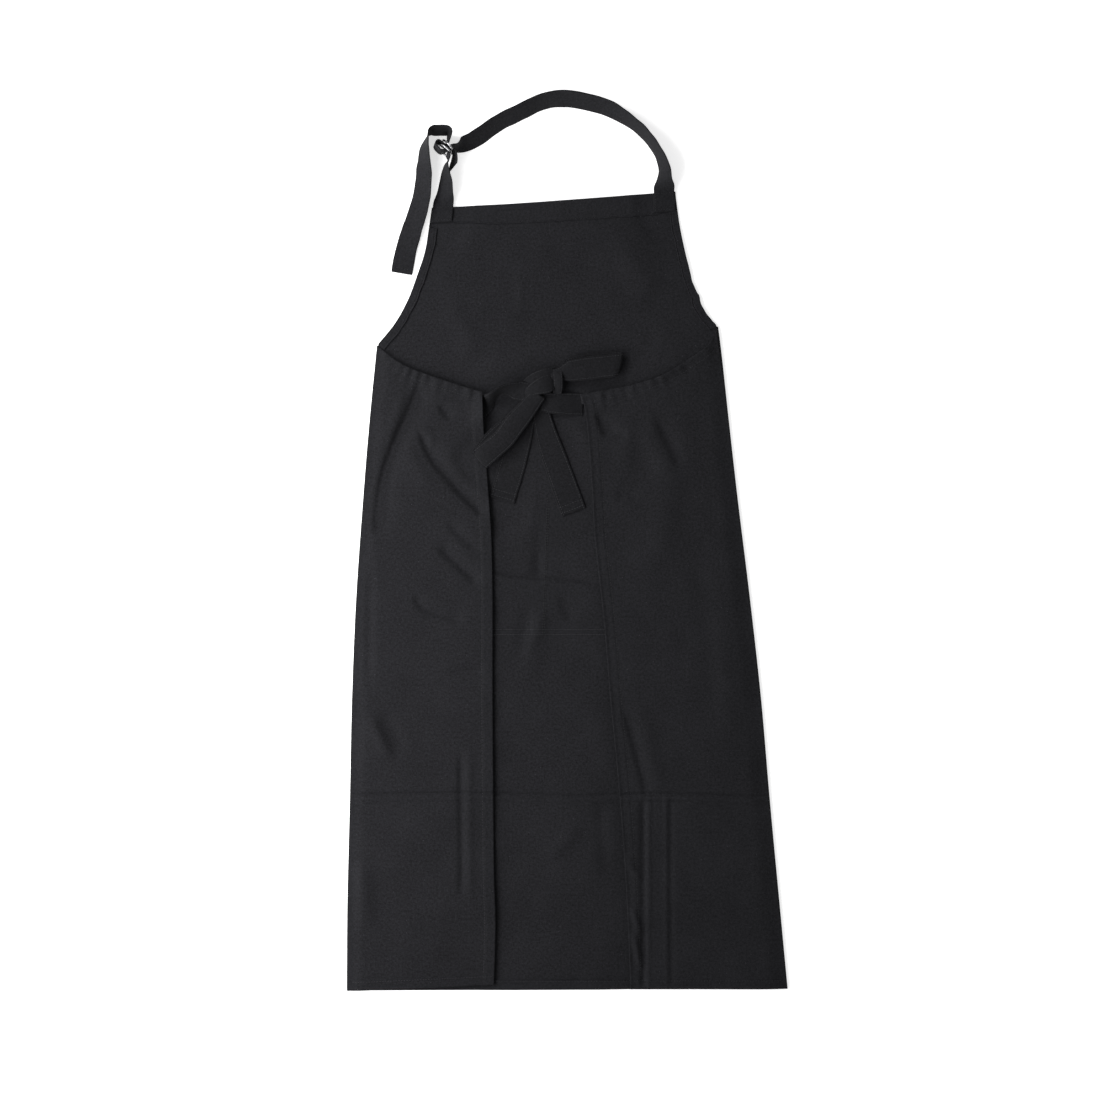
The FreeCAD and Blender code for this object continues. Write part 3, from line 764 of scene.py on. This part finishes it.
def build_flap(side, fold, inward, top_line, edge_line, height):
    """A side panel, from the bottom of its fold round to the free edge by the bow."""
    up = spread(FLAP_LENGTH, True, True, 1.6, 3.2, 24)
    up = with_rows(up, FLAP_CREASE_ROW, half=24.0) / FLAP_LENGTH
    start = smooth(fold)[::-1] + np.array([inward * FOLD_RADIUS, 0])
    end = edge_line[::-1]
    bottom = np.stack([start[0], end[0]])
    top = top_line.copy()
    top[0] = start[-1]
    across = spread(FLAP_WIDTH, False, True, 1.2, 2.5, 15) / FLAP_WIDTH
    flat = patch(start, end, bottom, top, across, up)
    sheet = lifted(flat, height)
    centre = flat[:, :1]
    angle = np.radians(np.linspace(-90, 90, 9))[:-1]
    radius = FOLD_RADIUS - CLOTH / 2
    middle = (FRONT_Z + FLAP_Z) / 2
    bend = np.dstack([
        centre[..., 0] - inward * radius * np.cos(angle)[None],
        np.repeat(centre[..., 1], len(angle), 1),
        np.broadcast_to(middle + radius * np.sin(angle)[None], (len(up), len(angle))),
    ])
    grid = np.concatenate([bend, sheet], axis=1)
    uv = np.dstack([np.concatenate([centre[..., 0] - inward * radius * (radians(90) - angle)[None],
                                    flat[..., 0]], axis=1), grid[..., 1]])
    if inward < 0:
        grid, uv = grid[:, ::-1], uv[:, ::-1]
    piece = cloth_sheet(side + "_flap_cloth", grid, CLOTH, uv)
    bends = [side + "_fold_" + part for part in ("upper", "middle", "lower")]
    dress(piece, TWILL, None, [side + "_flap_panel"] + bends)
    outline = np.vstack([start, top[1:], end[::-1][1:]])
    return piece, shoelace(outline) + lengths(start)[-1] * pi * radius * MM * MM


def hinge_blend(piece):
    """Bakes a piece's placement into its mesh, and leaves it on no body."""
    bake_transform(piece)


def trimmed(line, fold, margin):
    """The part of a line that lies inside a fold by more than margin."""
    away = nearest(line[:, 0], line[:, 1], smooth(fold))[0]
    return line[away > margin]


def finish_flap(side, fold, inward, top_line, edge_line, height):
    piece, area = build_flap(side, fold, inward, top_line, edge_line, height)
    way = -inward
    dense_top = at_lengths(top_line, np.arange(0, lengths(top_line)[-1], 3.0))
    top_part = trimmed(dense_top, fold, 14)[::way]
    edge_part = at_lengths(edge_line, np.arange(12, lengths(edge_line)[-1] - 12, 4.0))[::way]
    bottom_ends = np.stack([edge_line[-1], np.array(fold[-1], float)])
    bottom_part = at_shares(bottom_ends, np.linspace(0, 0.96, 40))[::way]
    sunk = CLOTH / 2 - 0.05
    edges = [("top", top_part, SIDE_HEM, SIDE_HEM - 2, sunk),
             ("side", edge_part, SIDE_HEM, SIDE_HEM + 1, sunk),
             ("bottom", bottom_part, BOTTOM_HEM, BOTTOM_HEM - 2, ON_CLOTH)]
    hems = [hem_band(f"{side}_{edge}_hem_cloth", line, width, height, -1, None,
                     [f"{side}_flap_{edge}_hem"]) for edge, line, width, _, _ in edges]
    threads = [stitch_line(f"{side}_{edge}_stitches", line, row, height, None, lift)
               for edge, line, _, row, lift in edges]
    for made in [piece, *hems, *threads]:
        hinge_blend(made)


finish_flap("left", LEFT_FOLD, 1, LEFT_TOP_LINE, LEFT_EDGE_LINE, left_height)
finish_flap("right", RIGHT_FOLD, -1, RIGHT_TOP_LINE, RIGHT_EDGE_LINE, right_height)


# ---------- pocket, on the under side

def build_pocket():
    lowest, highest = low("pocket_panel"), high("pocket_panel")
    x = lowest.x + spread(highest.x - lowest.x, True, True)
    y = lowest.y + spread(highest.y - lowest.y, True, True)
    flat = np.dstack(np.meshgrid(x, y))
    z = np.full(flat.shape[:2], (lowest.z + highest.z) / 2)
    panel = cloth_sheet("pocket_cloth", np.dstack([flat, z]), CLOTH, flat)
    dress(panel, TWILL, "apron", ["pocket_panel"])
    for node in ("pocket_top_hem", "pocket_bottom_turning", "pocket_left_turning",
                 "pocket_right_turning", "pocket_divider_seam"):
        a, b = low(node), high(node)
        flat = np.dstack(np.meshgrid(np.linspace(a.x, b.x, 24), np.linspace(a.y, b.y, 24)))
        if node == "pocket_divider_seam":
            lean = (flat[..., 1] - a.y) / (b.y - a.y) * (b.x - a.x - 2)
            flat[..., 0] = a.x + (flat[..., 0] - a.x) / (b.x - a.x) * 2 + lean
        z = np.full(flat.shape[:2], (a.z + b.z) / 2)
        hem = cloth_sheet(node + "_cloth", np.dstack([flat, z]), CLOTH, flat)
        dress(hem, TWILL, "apron", [node])


build_pocket()


ROW_IN, ROWS_APART = 2.0, 6.0           # from the pocket's edge to a row, and to the next
HEM_ROW_DOWN = 23.0
FACE_GAP = 0.08                         # under the threads on the pocket's face


def pocket_stitches():
    """The seams that hold the pocket, as they show on the inner side of the front panel, and the
    same rows on the pocket's own face."""
    a, b = low("pocket_panel"), high("pocket_panel")
    left, right, bottom, top = a.x + ROW_IN, b.x - ROW_IN, a.y + ROW_IN, b.y - ROW_IN
    edge = np.array([[left, top], [left, bottom], [right, bottom], [right, top]])
    line = np.vstack([at_shares(edge[i:i + 2], np.linspace(0, 1, 60)) for i in range(3)])
    inner = inset(line, ROWS_APART)
    divider = at_shares(np.array([[-24.0, b.y - 26], [-30.0, bottom]]), np.linspace(0, 1, 50))
    down = b.y - HEM_ROW_DOWN
    hem = at_shares(np.array([[a.x + 3, down], [b.x - 3, down]]), np.linspace(0, 1, 60))
    lines = [line, inner[6:-6], divider, divider + np.array([2.0, 0])]
    runs = [surface_run(run, front_height) for run in lines]
    # The pocket's outline rows are of the lighter thread, which paints their highlight.
    dress(stitch_mesh("pocket_seam_stitches", runs[:2]), HIGHLIGHT_THREAD, "apron")
    # The divider's row is thicker and of the darkest thread, which paints the shade of its groove
    # as a dark line.
    divider_seam = stitch_mesh("pocket_divider_stitches", runs[2:], radius=0.4)
    dress(divider_seam, SHADE_THREAD, "apron")
    under = []
    for run in lines + [hem]:
        z = np.full(len(run), STITCH_RADIUS + FACE_GAP)
        under.append((np.column_stack([run, z]), np.tile([0.0, 0.0, -1.0], (len(run), 1))))
    dress(stitch_mesh("pocket_face_stitches", under), THREAD, "apron")


pocket_stitches()


# ---------- straps and ties

def standing(x, y, heading, tilt, width=STRAP_WIDTH, thickness=STRAP):
    """A strap's station with its lower edge just above the table."""
    t = radians(tilt)
    z = abs(sin(t)) * width / 2 + abs(cos(t)) * thickness / 2 + 0.5
    return (x, y, z, heading, tilt, width)


def at_ring(side, out, width=22.0, tilt=RING_LEAN - 90):
    """A strap's station beside the rings, side and out from the middle of their bars."""
    p = RING_BAR + RING_AXLE * side + RING_OUT * out
    return (*p, RING_HEADING, tilt, width)


STRAP_ROW = 1.8
ACROSS = np.array([-0.5, -0.47, -0.43, -0.38, -0.3, -0.15, 0, 0.15, 0.3, 0.38, 0.43, 0.47, 0.5])
SEAM = 0.43                     # the share of the width at which a strap's stitches run
SEAM_SQUASH, RIM_SQUASH = 0.8, 0.92


def strap_grid(stations, seed, cup):
    """The middle surface of a strap: rows along it, columns across, and its uv. A station is x, y,
    z, heading, tilt and width, or without the tilt where the strap lies level."""
    path = smooth([p if len(p) == 6 else (*p[:4], 0, p[4]) for p in stations], 12)
    path = at_lengths(path, np.arange(0, lengths(path)[-1] + PAST, STRAP_ROW))
    place = path[:, :3]
    h, t = np.radians(path[:, 3]), np.radians(path[:, 4])
    width = path[:, 5]
    across = np.stack([-np.sin(h) * np.cos(t), np.cos(h) * np.cos(t), np.sin(t)], 1)
    up = unit(np.cross(np.gradient(place, axis=0), across))
    share = ACROSS[None]
    s = lengths(place)
    wave = 0.22 * waves(s[:, None], share * 20, seed, 11) * (0.4 + 2 * abs(share))
    bend = cup * (share ** 2) * 4
    edge_wobble = 1 + 0.012 * waves(s, 0, seed + 3, 16)
    grid = (place[:, None]
            + across[:, None] * (share * (width * edge_wobble)[:, None])[..., None]
            + up[:, None] * (wave + bend)[..., None])
    uv = np.dstack([np.broadcast_to(share * width.mean(), wave.shape),
                    np.broadcast_to(s[:, None], wave.shape)])
    return grid[:, ::-1], uv[:, ::-1]


def strap(name, stations, seed, nodes=(), blend=None, body="bow",
          thickness=TIE, surface=SHADED_TIE_TWILL, cup=0.0, ends=()):
    """A strap with a row of stitches beside each edge, on its body unless blend is given. ends
    lists the distances of rows of stitches across it, from its start, or from its end where
    negative. blend names two bodies and the places where the strap leaves the one and joins the
    other; where it is given, the strap is put on no body."""
    grid, uv = strap_grid(stations, seed, cup)
    seams = np.flatnonzero(np.isclose(abs(ACROSS), SEAM))
    thick = np.full(grid.shape[:2], float(thickness))
    thick[:, seams] *= SEAM_SQUASH
    thick[:, abs(ACROSS) > SEAM + PAST] *= RIM_SQUASH
    piece = cloth_sheet(name + "_cloth", grid, thick, uv)
    is_tie = surface is SHADED_TIE_TWILL
    dress(piece, surface)
    normal = sides(grid)
    runs = []
    for column in seams:
        lift = normal[:, column] * (thickness * SEAM_SQUASH / 2 + 0.05)
        runs.append((grid[:, column] + lift, normal[:, column]))
        runs.append((grid[:, column] - lift, -normal[:, column]))
    for place in ends:
        row = int(round(place / STRAP_ROW))
        row = row if place > 0 else len(grid) + row
        for way in (1, -1):
            lift = normal[row] * (way * (thickness * 0.5 + 0.02))
            runs.append((grid[row, 1:-1] + lift[1:-1], way * normal[row, 1:-1]))
    thread = stitch_mesh(name + "_cloth_stitches", runs)
    # A tie's rows are of the lighter thread, which paints highlights along its edges; a strap's are
    # of the darkest thread, which paints shade along its seams and ends.
    dress(thread, HIGHLIGHT_THREAD if is_tie else SHADE_THREAD)
    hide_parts(*nodes)
    for part in (piece, thread):
        if blend:
            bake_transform(part)
        else:
            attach(part, body)


SEWN_Z = high("bib_top_hem").z + STRAP / 2

strap("neck_strap", [
    (118.5, 403, SEWN_Z + 1.0, 94, 0, 25), (118.2, 415, SEWN_Z + 1.0, 93.9, 0, 24.5),
    (118, 427.0, SEWN_Z + 0.8, NECK_HINGE_HEADING, -2, 24), (118, 433, 5.4, 93, -16, 25),
    standing(118, 441, 92, -47), standing(118, 454, 97, -60), standing(114, 466, 110, -68),
    standing(107, 479, 124, -71), standing(93, 497, 132, -68), standing(75, 512, 142, -63),
    standing(50, 527, 154, -50), standing(23, 535, 167, -47), standing(-3, 539, 181, -47),
    standing(-29, 535.5, 196, -50), standing(-56, 523, 206, -50), standing(-84, 509, 213, -49),
    standing(-109, 491.5, 210, -48), standing(-124, 484, 200, -52), at_ring(9.5, 1.4, tilt=-58),
    at_ring(5.5, 4.4, tilt=-70), at_ring(1.5, 6.0), at_ring(-4, 6.6), at_ring(-7.4, 9.4),
    at_ring(-8.0, 13.0, 20), at_ring(-8.0, 17.0, 20), at_ring(-6.9, 20.0, 20),
    at_ring(-4.0, 21.3, 20), at_ring(-1.2, 20.2, 20), at_ring(-0.2, 16.6, 19),
    at_ring(0.2, 12.4, 19), at_ring(2.8, 9.0, 19), at_ring(6.2, 9.6, 20),
], 201, ["neck_strap", "neck_strap_end"],
    ("apron", "neck_loop", (-16, 411, 4), (-17.5, 436, 4)),
    thickness=STRAP * 0.9, surface=STRAP_TWILL, ends=(2.5, 22.5))

strap("strap_tail", [
    at_ring(6.2, 9.6, 20), (-143.6, 490.5, 14.2, 104, -76, 23), standing(-143.0, 496.6, 98, -74),
    standing(-144.4, 499.4, 140, -72), standing(-148.6, 500, 177, -70),
    standing(-156.2, 499.8, 180, -70), standing(-162.4, 499.6, 184, -70),
    standing(-167.2, 497.6, 216, -82), standing(-169.9, 493.0, 238, -96),
    standing(-171.2, 488, 248, -106), standing(-173.6, 478, 256, -118),
    standing(-174.2, 464, 264, -129), standing(-174.6, 446, 268, -142),
    standing(-176.3, 426, 263, -148), standing(-181, 405, 257, -156),
    standing(-188.5, 382, 252, -164), standing(-195, 361, 252, -175),
    standing(-199.3, 342, 258, -180), standing(-202, 326.5, 261, -180),
], 211, ["neck_strap_tail"],
    ("neck_loop", "strap_tail", (-151, 502, 13), (-165, 502, 13)),
    thickness=STRAP * 0.9, surface=STRAP_TWILL, ends=(-2.5, -7.5))

strap("ring_strap", [
    (-153.2, 390, SEWN_Z + 1.0, 94, 0, 25), (-152.2, 400, SEWN_Z + 1.0, 94, 0, 24.5),
    (-151.3, 408.7, SEWN_Z + 0.8, NECK_HINGE_HEADING, 0, 24), (-150.5, 415, 4.6, 92, -12, 24.5),
    standing(-148.8, 424, 88, -36), standing(-147.6, 437, 88, -50),
    (-148.0, 449, 12.4, 90, -66, 24.5), (-146.8, 459, 15.4, 98, -78, 24), at_ring(-5.4, -4.4, 24),
    at_ring(-4.6, -1.2, 24), at_ring(-3.4, 1.9, 24), at_ring(0, 2.7, 24), at_ring(3.4, 1.9, 24),
    at_ring(4.2, -1.4, 24), (-137.4, 468.6, 15.2, 118, -72, 24),
    (-138.0, 462.4, 15.0, 120, -63, 24), (-138.6, 457.0, 15.0, 126, -57, 24),
    (-139.0, 452.4, 15.0, 134, -54, 24),
], 221, ["ring_strap", "ring_strap_end"],
    ("apron", "neck_loop", (-16, 405, 4), (-17.2, 422, 4)),
    surface=STRAP_TWILL, ends=(2.5, 17.5))

for ring in ("inner_d_ring", "outer_d_ring"):
    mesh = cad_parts[ring].data
    mesh.materials.clear()
    mesh.materials.append(METAL)


# ---------- bow

TAIL = 1.0                      # the thickness of a tie's tail

strap("left_tie", [
    (-116, 164.5, 2.6, 0, 29), (-108, 164.5, 2.6, 0, 28), (-101.4, 165, 3.0, 3, 27),
    (-96.5, 169, 6.8, 24, 24, 22), (-89, 178, 11.4, 34, 60, 19), (-80, 184.5, 12.0, 20, 64, 19),
    (-71, 185.5, 10.6, -8, 46, 21), (-62, 184, 9.6, -14, 24, 24), (-56, 183.5, 9.2, -12, 18, 24),
    (-48, 182.5, 9.0, -10, 10, 22),
], 231, ["left_tie_run", "left_tie_end"],
    ("left_flap", "bow", (-106, 165, 2.4), (-97, 165.4, 2.4)), ends=(2.5,))

strap("right_tie", [
    (-31, 170.5, 6.4, -6, 20), (-22, 169, 6.6, -4, 24), (-12.5, 168.2, 6.6, -3, 25),
    (-5, 168, 5.8, -3, 26), (4, 167.8, 4.4, -3, 27), (13, 167.5, 2.7, 0, 27),
    (20, 167.3, 2.2, 0, 27),
], 241, ["right_tie_run"], thickness=TIE * 0.8)

strap("right_tie_end", [
    (24, 166, 2.35, 0, 27), (33, 165.5, 2.35, 0, 27), (42, 165, 2.35, 0, 27),
], 251, ["right_tie_end"], body="right_flap")

strap("upper_loop", [
    (-20, 201.5, 9.2, 10, 13), (-9.5, 204.5, 9.2, 10, 15), (-2, 207.5, 8.2, 10, 24),
    (4, 210.5, 7.0, 8, 28), (24, 213.5, 5.6, 7, 28), (46, 215.5, 5.4, 5, 28),
    (60, 216.5, 5.8, -6, 28), (66, 216, 8.0, -12, 28), (60, 214.9, 10.4, -8, 27),
    (44, 212.9, 11.8, 5, 27), (22, 210.3, 12.4, 6, 27), (4, 207.8, 12.4, 8, 25),
    (-2, 206, 12.4, 10, 20), (-9.5, 204.5, 12.2, 10, 14), (-20, 201.5, 12.0, 10, 12),
], 261, ["upper_bow_loop"],
    ("bow", "upper_loop", (-15, 203.5, 11), (2, 206, 11)), cup=1.8)

strap("lower_loop", [
    (-34, 180, 9.0, 230, 16), (-41, 171.5, 8.8, 232, 18), (-52, 158, 7.4, 230, 24),
    (-64.5, 143.5, 6.9, 228, 27), (-80.5, 130.5, 7.4, 226, 27), (-92.5, 118.5, 7.9, 225, 27),
    (-102.5, 106, 7.9, 223, 27), (-107.5, 99, 9.9, 221, 27), (-103, 103.5, 12.0, 222, 27),
    (-93, 111.5, 13.0, 226, 26.5), (-77, 125.5, 13.6, 230, 25.5), (-64.6, 142.4, 13.6, 228, 26),
    (-52.4, 157, 12.8, 230, 23.5), (-41, 171.5, 12.2, 232, 20), (-34, 180, 12.4, 230, 18),
], 271, ["lower_bow_loop"],
    ("bow", "lower_loop", (-38, 175, 10), (-50, 160.5, 10)), cup=1.8)

strap("left_tail", [
    (-42, 180, 4.4, 258, 20), (-47, 168.5, 3.0, 258, 22), (-52, 152, 2.6, 254, 27),
    (-58, 128, 2.7, 253, 30), (-68, 90, 2.7, 254.5, 31), (-80, 49, 2.6, 254.5, 31),
], 281, ["left_tie_tail"],
    ("bow", "left_tail", (-44, 176, 3), (-49, 160, 3)),
    thickness=TAIL, ends=(-5, -12.5))

strap("right_tail", [
    (-35, 179, 5.4, 280, 18), (-34, 171, 4.9, 282, 18), (-30, 148, 4.2, 286, 22),
    (-23, 122, 3.8, 290, 27), (-14.5, 99, 3.2, 290, 29), (-5, 72, 2.9, 290.5, 30),
    (8.5, 35, 2.8, 291, 31),
], 291, ["right_tie_tail"],
    ("bow", "right_tail", (-36, 177, 5), (-32.5, 160, 4)),
    thickness=TAIL, ends=(-5, -12.5))

strap("knot_leaf", [
    (-55, 178, 5.0, 24, 8), (-50, 180.5, 9.4, 28, 9), (-42, 185, 13.4, 28, 14),
    (-34, 188.5, 15.0, 24, 19), (-26, 191.5, 14.8, 22, 22), (-19, 194, 12.6, 18, 19),
    (-14.5, 195.5, 8.6, 18, 14),
], 301, ["bow_knot"], cup=-1.2)

strap("knot_wrap", [
    (-52, 178, 5.4, 100, 8), (-52, 186, 9.4, 74, 10), (-46, 194.5, 12.0, 46, 12),
    (-36, 200.5, 13.6, 28, 13), (-26, 204, 13.2, 16, 12), (-17, 206, 10.6, 12, 11),
    (-13, 206.6, 7.0, 10, 10),
], 311, cup=-0.8)

strap("knot_side", [
    (-12.5, 180, 7.4, 90, -18, 10.5), (-11.5, 186, 11.2, 88, -12, 10.5),
    (-11, 194, 13.9, 88, -8, 10.5), (-11.5, 202, 14.2, 92, -8, 10.5),
    (-12.5, 208, 11.2, 98, -8, 10.5),
], 321, cup=-0.6)


# ---------- floor, lights and camera

def build_floor():
    """A white floor just under the apron, which glows a little."""
    mesh = bpy.data.meshes.new("floor")
    half, depth = 4.0, -0.0003
    corners = [(-half, -half), (half, -half), (half, half), (-half, half)]
    mesh.from_pydata([(x, y, depth) for x, y in corners], [], [(0, 1, 2, 3)])
    mesh.materials.append(Shading("white_paper").surface(
        Base_Color=(0.94, 0.94, 0.94, 1), Roughness=0.9, Emission_Color=(1, 1, 1, 1),
        Emission_Strength=0.6))
    placed("floor", mesh)


def area_light(name, place, size, energy):
    """A square light that faces the middle of the apron."""
    data = bpy.data.lights.new(name, "AREA")
    data.shape = "SQUARE"
    data.size = size
    data.energy = energy
    light = placed(name, data)
    light.location = place
    light.rotation_euler = (-Vector(place)).to_track_quat("-Z", "Y").to_euler()


build_floor()
world = bpy.data.worlds.new("studio")
world.use_nodes = True
background = world.node_tree.nodes["Background"]
background.inputs["Color"].default_value = (1, 1, 1, 1)
background.inputs["Strength"].default_value = 0.36
scene.world = world
area_light("fill", (-0.78, -0.22, 0.56), 1.0, 16)
area_light("key", (-0.72, 0.72, 0.60), 0.3, 6.5)
scene.view_settings.view_transform = "Standard"

VIEW_WIDTH = 1.342
CAMERA_HEIGHT = 3.0
SENSOR = 36.0
camera_data = bpy.data.cameras.new("camera")
camera_data.sensor_width = SENSOR
camera_data.lens = SENSOR * CAMERA_HEIGHT / VIEW_WIDTH
camera = placed("camera", camera_data)
camera.location = (-0.0210, -0.0100, CAMERA_HEIGHT)
scene.camera = camera
